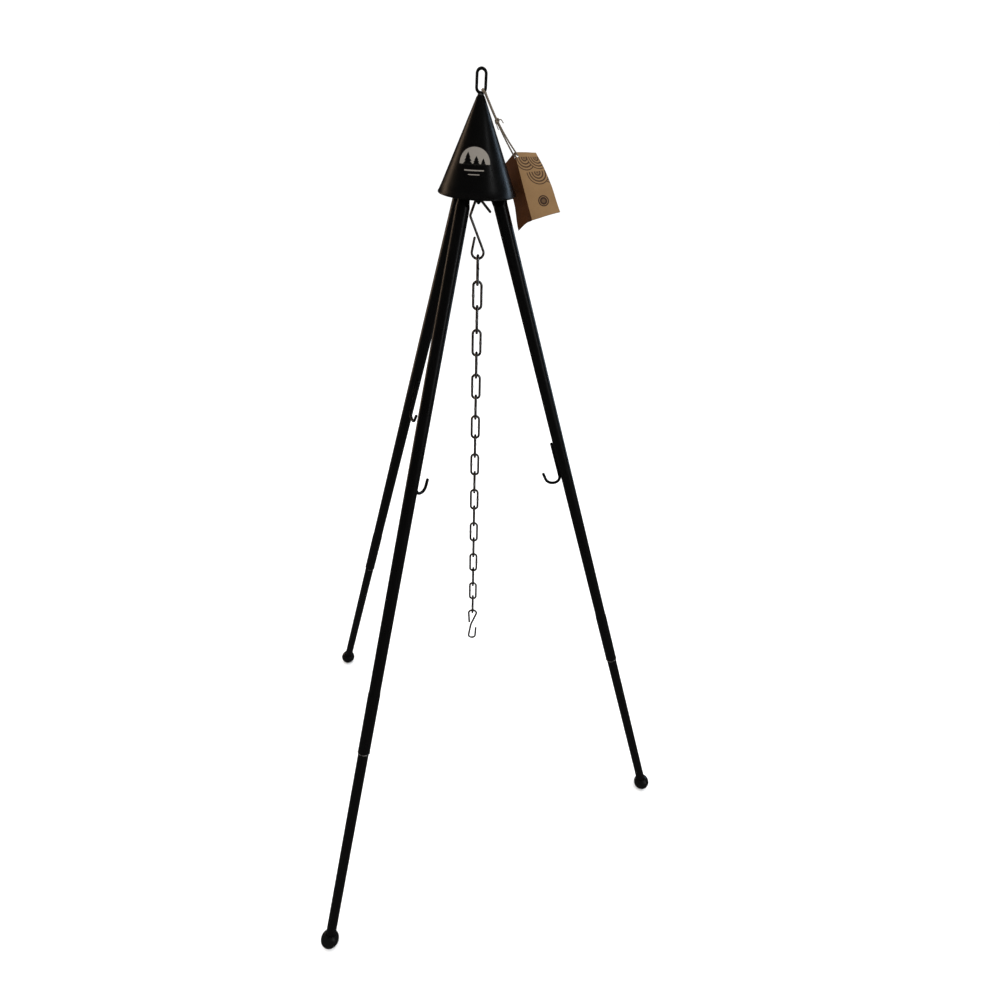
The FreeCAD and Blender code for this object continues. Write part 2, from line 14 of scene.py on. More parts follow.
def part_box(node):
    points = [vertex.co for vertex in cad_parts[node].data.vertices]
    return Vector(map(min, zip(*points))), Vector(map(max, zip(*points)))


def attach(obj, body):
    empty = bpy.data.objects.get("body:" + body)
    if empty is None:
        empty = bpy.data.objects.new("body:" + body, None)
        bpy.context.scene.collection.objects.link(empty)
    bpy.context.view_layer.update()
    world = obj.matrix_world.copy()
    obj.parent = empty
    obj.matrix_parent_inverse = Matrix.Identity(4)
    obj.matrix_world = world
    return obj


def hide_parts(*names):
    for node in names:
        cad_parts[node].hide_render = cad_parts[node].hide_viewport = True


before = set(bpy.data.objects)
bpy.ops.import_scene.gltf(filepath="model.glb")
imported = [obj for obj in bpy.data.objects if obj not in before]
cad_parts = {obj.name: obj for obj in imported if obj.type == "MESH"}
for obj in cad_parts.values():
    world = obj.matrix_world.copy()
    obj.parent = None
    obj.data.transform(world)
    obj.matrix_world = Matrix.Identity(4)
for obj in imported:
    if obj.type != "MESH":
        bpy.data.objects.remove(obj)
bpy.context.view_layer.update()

bl_info = {
    "name": "Campfire Tripod",
    "version": (1, 0, 0),
    "blender": (4, 5, 0),
    "location": "View3D > Sidebar > Tripod",
    "description": "Adds the finishes and small pieces of a campfire tripod",
    "category": "Object",
}

MM = 0.001
POLE = 1e-7  # the radius a ring has where it closes to a point
MERGE = 0.002 * MM  # points nearer than this become one
UP = Vector((0, 0, 1))
SIDES = ("right", "back", "front")
LINK_COUNT = 19


# ------------ places taken from the frame
def middle(node):
    low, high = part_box(node)
    return (low + high) / 2


HUB = Vector((middle("centre_rod").x, middle("centre_rod").y, 0))
RIM_LEVEL, HOOD_TOP = 915.4 * MM, 997.4 * MM
RIM_RADIUS, TOP_RADIUS = 38.0 * MM, 3.2 * MM
# The hood leans to the right, about the middle of its rim.
LEANING = (Matrix.Translation(HUB + UP * RIM_LEVEL) @ Matrix.Rotation(math.radians(1.6), 4, "Y")
           @ Matrix.Translation(-UP * RIM_LEVEL))
# Each leg hook's distance below the hinge pin, and its turn round the tube.
HOOKS = {"right": (331 * MM, 0.0), "back": (290 * MM, -25.0), "front": (304 * MM, 0.0)}


def ball_centre(side):
    """The centre of a leg's ball foot, and its radius."""
    low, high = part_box("ball_foot_" + side)
    radius = (high.x - low.x) / 2
    centre = (low + high) / 2
    centre.z = low.z + radius
    return centre, radius


def leg_frame(side):
    """Z up the leg from its foot, X away from the hub, origin at the hinge pin."""
    pin = middle("hinge_pin_" + side)
    along = (pin - ball_centre(side)[0]).normalized()
    across = along.cross(Vector((pin.x - HUB.x, pin.y - HUB.y, 0))).normalized()
    outward = across.cross(along)
    turn = Matrix((outward, across, along)).transposed().to_4x4()
    return Matrix.Translation(pin) @ turn


# ------------ modelling helpers
def object_mode():
    bpy.ops.object.mode_set(mode="OBJECT")


def edit_mode():
    bpy.ops.object.mode_set(mode="EDIT")


def keep_place():
    """Writes the selected piece's place, turn and size into its mesh."""
    bpy.ops.object.transform_apply(location=True, rotation=True, scale=True)


def deselect_all():
    if bpy.context.object and bpy.context.object.mode != "OBJECT":
        object_mode()
    bpy.ops.object.select_all(action="DESELECT")


def only(piece):
    """Makes one piece the active and only selected one."""
    deselect_all()
    piece.select_set(True)
    bpy.context.view_layer.objects.active = piece


def edit_all(piece):
    only(piece)
    edit_mode()
    bpy.ops.mesh.select_all(action="SELECT")


def select_points(piece, test):
    """In edit mode, selects the vertices whose place passes the test."""
    bpy.ops.mesh.select_all(action="DESELECT")
    bpy.ops.mesh.select_mode(type="VERT")
    object_mode()
    for vertex in piece.data.vertices:
        vertex.select = test(vertex.co)
    edit_mode()


def close_up(piece):
    """Merges what meets and turns all faces outwards."""
    edit_all(piece)
    bpy.ops.mesh.remove_doubles(threshold=MERGE)
    bpy.ops.mesh.normals_make_consistent(inside=False)
    object_mode()
    return piece


def turned_profile(name, profile, segments=48, ring=False):
    """A solid turned about Z from (radius, height) points; a ring's section closes on itself."""
    deselect_all()
    points = profile + profile[:1] if ring else profile
    radius, height = points[0]
    radius = max(radius, POLE)
    bpy.ops.mesh.primitive_circle_add(vertices=segments, radius=radius, location=(0, 0, height))
    piece = bpy.context.object
    piece.name = name
    keep_place()
    edit_all(piece)
    for wide, level in points[1:]:
        wide = max(wide, POLE)
        bpy.ops.mesh.extrude_region_move(
            TRANSFORM_OT_translate={"value": (0, 0, level - height)})
        grow = wide / radius
        bpy.ops.transform.resize(value=(grow, grow, 1), center_override=(0, 0, level))
        radius, height = wide, level
    return close_up(piece)


def arc(centre, radius, start, end, count):
    """Points of (radius, height) along an arc; angles are degrees from straight out."""
    points = []
    for step in range(count):
        angle = math.radians(start + (end - start) * step / (count - 1))
        points.append((centre[0] + radius * math.cos(angle),
                       centre[1] + radius * math.sin(angle)))
    return points


def apply_modifier(piece, kind, **settings):
    only(piece)
    modifier = piece.modifiers.new(kind.title(), kind)
    for key, value in settings.items():
        setattr(modifier, key, value)
    bpy.ops.object.modifier_apply(modifier=modifier.name)


def settle(piece, place):
    """Moves a piece to its place and keeps that place in its mesh."""
    only(piece)
    piece.matrix_world = place
    keep_place()
    return piece


def copied(piece, name, place):
    twin = piece.copy()
    twin.data = piece.data.copy()
    twin.name = name
    bpy.context.scene.collection.objects.link(twin)
    return settle(twin, place)


def joined(pieces, name):
    only(pieces[0])
    for piece in pieces:
        piece.select_set(True)
    bpy.ops.object.join()
    pieces[0].name = name
    return pieces[0]


def complete(piece, body, finish, smooth_angle=35):
    """Smooths and paints a finished piece, and hands it to its body."""
    only(piece)
    bpy.ops.object.shade_smooth_by_angle(angle=math.radians(smooth_angle))
    if finish:
        piece.data.materials.clear()
        piece.data.materials.append(finish)
    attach(piece, body)


# ------------ shader helpers
class Finish:
    """One material's nodes, with short calls for the ones that the finishes share."""

    def __init__(self, name, **constants):
        self.material = bpy.data.materials.new(name)
        self.material.use_nodes = True
        self.tree = self.material.node_tree
        self.shader = self.tree.nodes["Principled BSDF"]
        for socket, value in constants.items():
            self.shader.inputs[socket.replace("_", " ")].default_value = value

    def add(self, kind, inputs=(), output=0, **settings):
        node = self.tree.nodes.new(kind)
        for key, value in settings.items():
            setattr(node, key, value)
        for socket, value in dict(inputs).items():
            self.feed(node.inputs[socket], value)
        return node.outputs[output]

    def feed(self, socket, value):
        if isinstance(value, bpy.types.NodeSocket):
            self.tree.links.new(value, socket)
        else:
            socket.default_value = value

    def math(self, operation, *values):
        return self.add("ShaderNodeMath", enumerate(values), operation=operation)

    def times(self, first, second):
        return self.math("MULTIPLY", first, second)

    def plus(self, first, second):
        return self.math("ADD", first, second)

    def minus(self, first, second):
        return self.math("SUBTRACT", first, second)

    def distance(self, across, above):
        return self.math("SQRT", self.plus(self.times(across, across), self.times(above, above)))

    def split(self, vector, count=3):
        """The first parts of a vector, each from a node of its own."""
        return [self.add("ShaderNodeSeparateXYZ", {"Vector": vector}, output=i)
                for i in range(count)]

    def place(self, scale=(1, 1, 1), turn=(0, 0, 0), shift=(0, 0, 0)):
        """The object's own coordinates in metres, moved, turned and stretched."""
        own = self.add("ShaderNodeTexCoord", output="Object")
        return self.add("ShaderNodeMapping", {
            "Vector": own, "Scale": scale, "Rotation": turn, "Location": shift})

    def noise(self, vector, scale, detail=3.0, roughness=0.5):
        return self.add("ShaderNodeTexNoise", {
            "Vector": vector, "Scale": scale, "Detail": detail, "Roughness": roughness})

    def spread(self, value, low, high, to_low=0.0, to_high=1.0):
        return self.add("ShaderNodeMapRange", {
            "Value": value, "From Min": low, "From Max": high,
            "To Min": to_low, "To Max": to_high}, interpolation_type="SMOOTHSTEP")

    def blend(self, share, first, second):
        return self.add("ShaderNodeMix", [(0, share), (6, first), (7, second)], output=2,
                        data_type="RGBA")

    def bump(self, height, depth, strength=1.0, under=None):
        inputs = {"Height": height, "Distance": depth, "Strength": strength}
        if under:
            inputs["Normal"] = under
        return self.add("ShaderNodeBump", inputs)

    def wire(self, **sockets):
        for socket, value in sockets.items():
            self.feed(self.shader.inputs[socket.replace("_", " ")], value)
        return self.material


def rgba(colour, gain=1.0):
    return (colour[0] * gain, colour[1] * gain, colour[2] * gain, 1.0)


def finishes():
    return bpy.context.scene.tripod_finishes


def powder_coat(name, turn=(0, 0, 0), grow=None):
    """Baked black powder coat: a fine orange peel, cloudy gloss, dust and long light scuffs.

    grow changes the colour before it reaches the shader, such as a print on the paint.
    """
    paint = finishes()
    coat = Finish(name, Specular_IOR_Level=0.34)
    plain = coat.place()
    cloud = coat.noise(plain, 38, 4, 0.6)
    speck = coat.noise(plain, 900, 2, 0.6)
    streak = coat.noise(coat.place(scale=(420, 420, 9), turn=turn), 1.0, 5, 0.7)
    scuff = coat.times(coat.spread(streak, 0.68, 0.8), coat.spread(cloud, 0.5, 0.7))
    dust = coat.times(coat.spread(speck, 0.6, 0.8), 0.35)
    colour = coat.blend(cloud, rgba(paint.paint_colour, 0.75), rgba(paint.paint_colour, 1.3))
    colour = coat.blend(dust, colour, rgba(paint.paint_colour, 3.0))
    colour = coat.blend(coat.times(scuff, 0.6), colour, rgba(paint.scuff_colour))
    gloss = coat.spread(cloud, 0.25, 0.75, paint.paint_roughness - 0.05,
                        paint.paint_roughness + 0.07)
    if grow:
        colour, gloss = grow(coat, colour, gloss)
    gloss = coat.plus(gloss, coat.times(scuff, 0.2))
    peel = coat.noise(plain, 620, 2, 0.5)
    normal = coat.bump(peel, 0.035 * MM)
    normal = coat.bump(speck, 0.012 * MM, under=normal)
    return coat.wire(Base_Color=colour, Roughness=gloss, Normal=normal)


# Fir trees on the badge: place across, height and width, as shares of the badge's radius.
FIR_TREES = [(-0.42, 0.72, 0.34), (0.12, 0.5, 0.26), (0.55, 0.36, 0.2)]
# Rules under the badge: height, half length and half thickness, as shares of its radius.
BADGE_RULES = [(-0.34, 0.62, 0.035), (-0.58, 0.36, 0.026)]
# Each tree has three tiers: the step between their tops and their height, as shares of the
# tree's height, then the half width of the top tier and what each next one adds.
TIERS, TIER_STEP, TIER_HEIGHT, TIER_HALF, TIER_GROWTH = 3, 0.26, 0.48, 0.5, 0.25
BADGE_LEVEL = RIM_LEVEL + 28.6 * MM
BADGE_HEADING = math.radians(-3.5)  # from straight to the front
PRINT_EDGE = 0.12 * MM


def badge_mask(coat):
    """1 inside a plain printed badge: a half disc behind three fir trees, and two rules."""
    x, y, z = coat.split(coat.place(shift=-HUB))
    radius = coat.distance(x, y)
    heading = coat.minus(coat.math("ARCTAN2", x, coat.times(y, -1)), BADGE_HEADING)
    across = coat.times(heading, radius)
    slant = math.hypot(HOOD_TOP - RIM_LEVEL, RIM_RADIUS - TOP_RADIUS) / (HOOD_TOP - RIM_LEVEL)
    above = coat.times(coat.minus(z, BADGE_LEVEL), slant)
    size = finishes().badge_radius
    far = coat.distance(across, above)
    edge = PRINT_EDGE

    def inside(value, limit):
        return coat.spread(value, limit + edge, limit - edge)

    mask = coat.times(inside(far, size), coat.spread(above, -edge, edge))
    for tree_across, tree_height, tree_width in FIR_TREES:
        away = coat.math("ABSOLUTE", coat.minus(across, tree_across * size))
        for tier in range(TIERS):
            top = tree_height * size * (1 - tier * TIER_STEP)
            foot = top - tree_height * size * TIER_HEIGHT
            half = tree_width * size * (TIER_HALF + tier * TIER_GROWTH)
            fall = coat.times(coat.minus(top, above), half / (top - foot))
            bough = coat.times(inside(coat.minus(away, fall), 0.0),
                               coat.spread(above, foot - edge, foot + edge))
            mask = coat.times(mask, coat.minus(1.0, bough))
    for level, half, thick in BADGE_RULES:
        rule = coat.times(
            inside(coat.math("ABSOLUTE", across), half * size),
            inside(coat.math("ABSOLUTE", coat.minus(above, level * size)), thick * size))
        mask = coat.math("MAXIMUM", mask, rule)
    return coat.times(mask, coat.math("LESS_THAN", y, 0.0))


def printed(coat, colour, gloss):
    """The badge's pale ink over the paint, slightly broken where the peel shows through."""
    mask = badge_mask(coat)
    grain = coat.noise(coat.place(), 1400, 3, 0.7)
    ink = coat.blend(grain, rgba(finishes().ink_colour, 0.82), rgba(finishes().ink_colour, 1.12))
    cover = coat.times(mask, coat.spread(grain, 0.16, 0.3, 0.7, 1.0))
    rough = coat.plus(coat.times(gloss, coat.minus(1.0, cover)), coat.times(cover, 0.62))
    return coat.blend(cover, colour, ink), rough


def hood_paint():
    return powder_coat("hood_paint", grow=printed)


def leg_paint(side):
    turn = leg_frame(side).to_3x3().inverted().to_euler()
    return powder_coat("leg_paint_" + side, turn=turn)


def foot_plastic():
    """Moulded nylon: a fine spark texture, satin, with pale rub marks low down."""
    paint = finishes()
    nylon = Finish("foot_plastic", Specular_IOR_Level=0.45)
    own = nylon.place()
    grain = nylon.noise(own, 1500, 3, 0.6)
    cloud = nylon.noise(own, 120, 4, 0.6)
    height = nylon.add("ShaderNodeSeparateXYZ", {"Vector": own}, output=2)
    low = nylon.spread(height, 6 * MM, 0.5 * MM)
    rub = nylon.times(low, nylon.spread(cloud, 0.42, 0.66))
    colour = nylon.blend(cloud, rgba(paint.foot_colour, 0.8), rgba(paint.foot_colour, 1.4))
    colour = nylon.blend(rub, colour, rgba(paint.scuff_colour, 1.3))
    rough = nylon.plus(nylon.spread(cloud, 0.3, 0.7, 0.26, 0.38), nylon.times(rub, 0.35))
    return nylon.wire(Base_Color=colour, Roughness=rough, Normal=nylon.bump(grain, 0.02 * MM))


def bright_steel():
    """Drawn steel wire, bright on top and browned in its mottles, with fine draw lines."""
    paint = finishes()
    steel = Finish("bright_steel", Metallic=1.0)
    own = steel.place()
    mottle = steel.noise(own, 170, 5, 0.65)
    fine = steel.noise(own, 900, 3, 0.6)
    lines = steel.noise(steel.place(scale=(1900, 1900, 60)), 1.0, 3, 0.6)
    tint = steel.spread(mottle, 0.42, 0.66)
    colour = steel.blend(tint, rgba(paint.steel_colour), rgba(paint.steel_brown))
    colour = steel.blend(steel.times(steel.spread(fine, 0.56, 0.74), 0.7), colour,
                         rgba(paint.steel_brown, 0.35))
    rough = steel.plus(steel.spread(mottle, 0.3, 0.7, 0.24, 0.46), steel.times(fine, 0.1))
    normal = steel.bump(fine, 0.02 * MM, under=steel.bump(lines, 0.012 * MM))
    return steel.wire(Base_Color=colour, Roughness=rough, Normal=normal)


def dark_steel():
    """Oil-blackened steel, with a warm bloom and a little bare metal where it rubs."""
    paint = finishes()
    steel = Finish("dark_steel", Metallic=0.75)
    own = steel.place()
    cloud = steel.noise(own, 110, 5, 0.65)
    fine = steel.noise(own, 1100, 3, 0.6)
    colour = steel.blend(cloud, rgba(paint.dark_steel_colour, 0.7),
                         rgba(paint.dark_steel_colour, 1.6))
    worn = steel.times(steel.spread(fine, 0.62, 0.78), steel.spread(cloud, 0.5, 0.7))
    colour = steel.blend(worn, colour, rgba(paint.steel_brown))
    rough = steel.spread(cloud, 0.3, 0.7, 0.34, 0.5)
    return steel.wire(Base_Color=colour, Roughness=rough, Normal=steel.bump(fine, 0.015 * MM))


def worn_rim():
    """Bare steel showing through rubbed paint where the tubes slide in each other."""
    paint = finishes()
    steel = Finish("worn_rim", Metallic=0.9)
    own = steel.place()
    cloud = steel.noise(own, 260, 4, 0.7)
    fine = steel.noise(own, 1600, 3, 0.6)
    bare = steel.spread(cloud, 0.4, 0.52)
    colour = steel.blend(bare, rgba(paint.paint_colour, 2.0), rgba(paint.steel_colour, 1.25))
    rough = steel.spread(fine, 0.3, 0.7, 0.22, 0.42)
    return steel.wire(Base_Color=colour, Roughness=rough, Normal=steel.bump(fine, 0.02 * MM))


def kraft(name, pattern=None):
    """Brown recycled card: pressed fibres, darker flecks and an uneven matt face."""
    paint = finishes()
    card = Finish(name, Roughness=0.88, Specular_IOR_Level=0.2)
    own = card.place()
    cloud = card.noise(own, 90, 5, 0.6)
    fibre = card.noise(card.place(scale=(2600, 2600, 240), turn=(0.3, 0.4, 0.2)), 1.0, 4, 0.7)
    cross = card.noise(card.place(scale=(260, 1900, 2400), turn=(0.1, 0.5, 0.9)), 1.0, 3, 0.7)
    fleck = card.noise(own, 1300, 2, 0.5)
    colour = card.blend(cloud, rgba(paint.card_colour, 0.86), rgba(paint.card_colour, 1.12))
    colour = card.blend(card.times(card.spread(fibre, 0.52, 0.72), 0.35), colour,
                        rgba(paint.card_colour, 1.4))
    colour = card.blend(card.times(card.spread(fleck, 0.66, 0.76), 0.6), colour,
                        rgba(paint.card_colour, 0.45))
    if pattern:
        colour = pattern(card, colour)
    relief = card.plus(fibre, cross)
    return card.wire(Base_Color=colour, Normal=card.bump(relief, 0.05 * MM, 0.8))


# Scallops on the tag's front: centre across and down in millimetres, lower ones first.
SCALLOPS = [(34.5, 21.5), (20.0, 20.5), (10.0, 5.5), (25.5, 5.5)]
SCALLOP_RADIUS = 12.0
SCALLOP_RINGS = 4
STAMP_SPOT = (16.8, 49.0)
STAMP_RADIUS = 5.8
# The back leaf is painted a deeper brown than the front one: painted shade, for the far side of
# the fold that gets less light.
BACK_LEAF_SHADE = (0.62, 0.34, 0.18)


def tag_print(card, colour):
    """Rows of plain scallops towards the top corner, and a round stamp, in dark brown ink, and
    painted shade that darkens the back leaf.
    """
    paint = finishes()
    size = bpy.context.scene.tripod_tag
    u, v = card.split(card.add("ShaderNodeUVMap", uv_map="UVMap"), 2)
    across = card.times(card.minus(u, 0.5), 2 * size.card_width / MM)
    down = card.times(card.minus(1.0, v), size.card_length / MM)
    blot = card.noise(card.place(), 1500, 3, 0.7)

    def far_from(spot):
        return card.distance(card.minus(across, spot[0]), card.minus(down, spot[1]))

    ink = 0.0
    for spot in SCALLOPS:
        far = far_from(spot)
        wave = card.math("PINGPONG", card.math("DIVIDE", far, SCALLOP_RADIUS / SCALLOP_RINGS), 0.5)
        line = card.spread(wave, 0.27, 0.19)
        inside = card.spread(far, SCALLOP_RADIUS + 0.4, SCALLOP_RADIUS + 0.2)
        below = card.math("GREATER_THAN", down, spot[1] - 1.0)
        inside = card.times(inside, below)
        fresh = card.math("MAXIMUM", line, card.spread(far, 2.0, 1.8, 0.0, 0.5))
        ink = card.plus(card.times(inside, fresh), card.times(card.minus(1.0, inside), ink))
    far = far_from(STAMP_SPOT)
    disc = card.spread(far, STAMP_RADIUS, STAMP_RADIUS - 0.25)
    ring = card.spread(card.math("ABSOLUTE", card.minus(far, STAMP_RADIUS * 0.72)), 0.22, 0.4)
    heart = card.spread(far, STAMP_RADIUS * 0.34, STAMP_RADIUS * 0.42)
    stamp = card.times(disc, card.times(ring, card.plus(card.times(heart, 0.35), 0.65)))
    ink = card.math("MAXIMUM", card.times(ink, 0.88), stamp)
    ink = card.times(ink, card.spread(blot, 0.2, 0.42, 0.6, 0.95))
    front = card.math("GREATER_THAN", across, 0.0)
    ink = card.times(ink, front)
    # Painted shade: the back leaf's card colour is multiplied by a deeper brown, as if it stood in
    # shadow.
    shaded_back = card.add("ShaderNodeMix", [(0, 1.0), (6, colour), (7, rgba(BACK_LEAF_SHADE))], output=2,
                       data_type="RGBA", blend_type="MULTIPLY")
    colour = card.blend(front, shaded_back, colour)
    return card.blend(ink, colour, rgba(paint.tag_ink))


def twine_fibre():
    """Hemp: matt plies with darker hollows and stray light fibres."""
    paint = finishes()
    hemp = Finish("twine", Roughness=0.9, Specular_IOR_Level=0.15, Sheen_Weight=0.3)
    own = hemp.place()
    tuft = hemp.noise(own, 1400, 4, 0.7)
    cloud = hemp.noise(own, 320, 3, 0.6)
    colour = hemp.blend(tuft, rgba(paint.twine_colour, 0.62), rgba(paint.twine_colour, 1.35))
    colour = hemp.blend(hemp.times(cloud, 0.4), colour, rgba(paint.twine_colour, 0.55))
    return hemp.wire(Base_Color=colour, Normal=hemp.bump(tuft, 0.12 * MM))


# ------------ settings
def colour_prop(name, description, default):
    return FloatVectorProperty(name=name, description=description, default=default,
                               subtype="COLOR", size=3, min=0, max=1)


def length_prop(name, description, default):
    return FloatProperty(name=name, description=description, default=default, unit="LENGTH",
                         precision=4, min=0)


class TripodFinishes(bpy.types.PropertyGroup):
    paint_colour: colour_prop("Paint", "Powder coat on the hood and legs",
                              (0.0016, 0.0014, 0.0013))
    paint_roughness: FloatProperty(name="Paint roughness", description="Gloss of the powder coat",
                                   default=0.3, min=0.05, max=1, subtype="FACTOR")
    scuff_colour: colour_prop("Scuffs", "Paint rubbed dull by handling", (0.014, 0.012, 0.011))
    ink_colour: colour_prop("Badge ink", "Pale print on the hood", (0.2, 0.18, 0.155))
    badge_radius: length_prop("Badge radius", "Half disc printed on the hood", 15 * MM)
    foot_colour: colour_prop("Feet", "Moulded ball feet", (0.003, 0.003, 0.003))
    steel_colour: colour_prop("Bright steel", "Chain and hooks", (0.46, 0.43, 0.4))
    steel_brown: colour_prop("Steel tarnish", "Brown mottles on the chain",
                             (0.15, 0.11, 0.085))
    dark_steel_colour: colour_prop("Dark steel", "Blackened rod, pins and loops",
                                   (0.012, 0.0115, 0.011))
    card_colour: colour_prop("Card", "Kraft card of the hang tag", (0.17, 0.1, 0.045))
    tag_ink: colour_prop("Tag ink", "Print on the hang tag", (0.014, 0.006, 0.005))
    twine_colour: colour_prop("Twine", "Hemp twine of the hang tag", (0.15, 0.115, 0.08))


class TripodDetails(bpy.types.PropertyGroup):
    seam_width: length_prop("Seam width", "Lap seam down the back of the hood", 7 * MM)
    seam_thick: length_prop("Seam thickness", "How far the lap stands off the hood", 0.9 * MM)
    rivet_radius: length_prop("Rivet radius", "Rivets in the hood's lap seam", 2.0 * MM)
    hem_radius: length_prop("Hem radius", "Rolled hem round the hood's rim", 0.95 * MM)
    rim_radius: length_prop("Rim radius", "Rolled mouth of the leg's socket", 0.55 * MM)
    weld_radius: length_prop("Weld radius", "Bead of weld beside a leg hook", 1.15 * MM)
    rivet_count: IntProperty(name="Rivets", description="Rivets in the hood's lap seam",
                             default=4, min=1)


class TripodTag(bpy.types.PropertyGroup):
    card_width: length_prop("Leaf width", "Each leaf of the folded card, from its fold", 30 * MM)
    card_length: length_prop("Card length", "Along the fold", 64 * MM)
    twist_top: FloatProperty(name="Twist at top", description="Turn of the front leaf's top edge",
                             default=math.radians(-19), subtype="ANGLE")
    twist_foot: FloatProperty(name="Twist below", description="Turn of its bottom edge",
                              default=math.radians(14), subtype="ANGLE")
    card_thick: length_prop("Card thickness", "Thickness of the card", 0.5 * MM)
    hole_radius: length_prop("Hole radius", "Punched hole for the twine", 1.5 * MM)
    twine_diameter: length_prop("Twine diameter", "Each strand of the twine", 1.6 * MM)
    ply_pitch: length_prop("Twist", "Length of one turn of the plies", 5 * MM)


class TripodView(bpy.types.PropertyGroup):
    place: FloatVectorProperty(name="Camera", description="Where the camera stands",
                               default=(0.01655, -0.653557, 1.024854), subtype="TRANSLATION",
                               unit="LENGTH")
    pitch: FloatProperty(name="Pitch", description="How far the camera looks down",
                         default=0.595221, subtype="ANGLE")
    roll: FloatProperty(name="Roll", description="Tilt of the camera about its own view",
                        default=0.041789, subtype="ANGLE")
    lens: FloatProperty(name="Lens", description="Focal length of a 36 mm wide sensor",
                        default=23.442, subtype="DISTANCE_CAMERA")
    backdrop_colour: colour_prop("Backdrop", "Floor and surroundings", (0.94, 0.94, 0.94))
    surroundings_strength: FloatProperty(name="Surroundings", default=1.15,
                                         description="Brightness of the white all round")
    mirrored_strength: FloatProperty(name="Mirrored", default=0.02,
                                     description="How much of it gloss picks up")


# ------------ hood
class TRIPOD_OT_hood(bpy.types.Operator):
    """Turns the sheet steel hood with its rolled hem, and rivets its lap seam at the back"""
    bl_idname = "tripod.hood"
    bl_label = "Hood"

    def execute(self, context):
        size = context.scene.tripod_details
        low, top = RIM_LEVEL, HOOD_TOP
        wide, narrow = RIM_RADIUS, TOP_RADIUS
        wall = 1.1 * MM
        stem = 1.65 * MM
        hem = size.hem_radius
        slope = (wide - narrow) / (top - low)
        hem_centre = (wide - hem * 0.9, low + hem)
        outer = [(narrow + (wide - narrow) * share, top - (top - low) * share)
                 for share in (0.0, 0.02, 0.3, 0.6, 0.9)]
        outer[0] = (narrow - 0.5 * MM, top)
        inner = [(wide - wall - slope * (4 * MM), low + 4 * MM),
                 (narrow - wall + slope * wall, top - wall), (stem, top - wall), (stem, top)]
        shell = turned_profile("hood", outer + arc(hem_centre, hem, 60, -200, 14) + inner,
                               segments=128, ring=True)
        settle(shell, LEANING)
        complete(shell, "hub", hood_paint(), 40)
        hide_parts("cone_hood")
        self.lap_seam(size)
        return {"FINISHED"}

    def lap_seam(self, size):
        """A strip that narrows up the back, with its long edges bevelled, and round rivets."""
        rise, spread = HOOD_TOP - RIM_LEVEL, RIM_RADIUS - TOP_RADIUS
        slant = math.hypot(rise, spread)
        lean = math.atan2(spread, rise)
        length = slant - 12 * MM
        below_top = 7 * MM
        first_rivet, rivets_short = 24 * MM, 32 * MM
        deselect_all()
        bpy.ops.mesh.primitive_cube_add(size=1, location=(0, 0, 0))
        strip = bpy.context.object
        edit_all(strip)
        bpy.ops.transform.resize(value=(size.seam_width, size.seam_thick, length))
        bpy.ops.mesh.subdivide(number_cuts=6)
        select_points(strip, lambda co: co.z > 0.49 * length)
        bpy.ops.transform.resize(value=(0.45, 1, 1), center_override=(0, 0, 0))
        object_mode()
        for vertex in strip.data.vertices:
            share = vertex.co.z / length + 0.5
            if share < 0.99:
                vertex.co.x *= 1 - 0.55 * share
        apply_modifier(strip, "BEVEL", width=0.25 * MM, segments=2, limit_method="ANGLE")
        # The strip lies on the slope at the back, its foot just above the hem.
        down_slope = Vector((0, math.sin(lean), -math.cos(lean)))
        outward = Vector((0, math.cos(lean), math.sin(lean)))
        apex = Vector((0, TOP_RADIUS, HOOD_TOP))
        centre = apex + down_slope * (below_top + length / 2) + outward * size.seam_thick * 0.3
        turn = Matrix((Vector((-1, 0, 0)), outward, -down_slope)).transposed().to_4x4()
        settle(strip, LEANING @ Matrix.Translation(centre) @ turn)
        dome = [(0, 1.0)] + arc((0, 0), 1.0, 80, 0, 6) + [(0.86, -0.3), (0, -0.3)]
        profile = [(r * size.rivet_radius, z * size.rivet_radius * 0.55) for r, z in dome]
        rivet = turned_profile("rivet", profile, segments=20)
        lay = Matrix((Vector((1, 0, 0)), down_slope, outward)).transposed().to_4x4()
        pieces = [strip]
        for i in range(size.rivet_count):
            along = first_rivet + (length - rivets_short) * i / max(size.rivet_count - 1, 1)
            spot = apex + down_slope * along + outward * size.seam_thick * 0.75
            pieces.append(copied(rivet, "rivet_copy",
                                 LEANING @ Matrix.Translation(spot) @ lay))
        bpy.data.objects.remove(rivet)
        seam = joined(pieces, "hood_seam")
        complete(seam, "hub", powder_coat("seam_paint"), 30)


class TRIPOD_OT_loop_weld(bpy.types.Operator):
    """Welds the carrying loop to the hood's point with a rippled bead"""
    bl_idname = "tripod.loop_weld"
    bl_label = "Loop weld"

    def execute(self, context):
        top = HOOD_TOP
        bore = 1.55 * MM
        bead = turned_profile("loop_weld", [
            (bore, top - 0.2 * MM), (2.75 * MM, top - 0.2 * MM), (2.8 * MM, top + 0.25 * MM),
            (2.35 * MM, top + 0.75 * MM), (bore, top + 1.2 * MM)], segments=36, ring=True)
        edit_all(bead)
        select_points(bead, lambda co: round(math.degrees(math.atan2(co.y, co.x)) / 10) % 3 == 0
                      and math.hypot(co.x, co.y) > 2 * MM)
        bpy.ops.transform.resize(value=(1.06, 1.06, 1), center_override=(0, 0, top))
        object_mode()
        settle(bead, LEANING)
        complete(bead, "hub", bpy.data.materials["dark_steel"], 60)
        return {"FINISHED"}


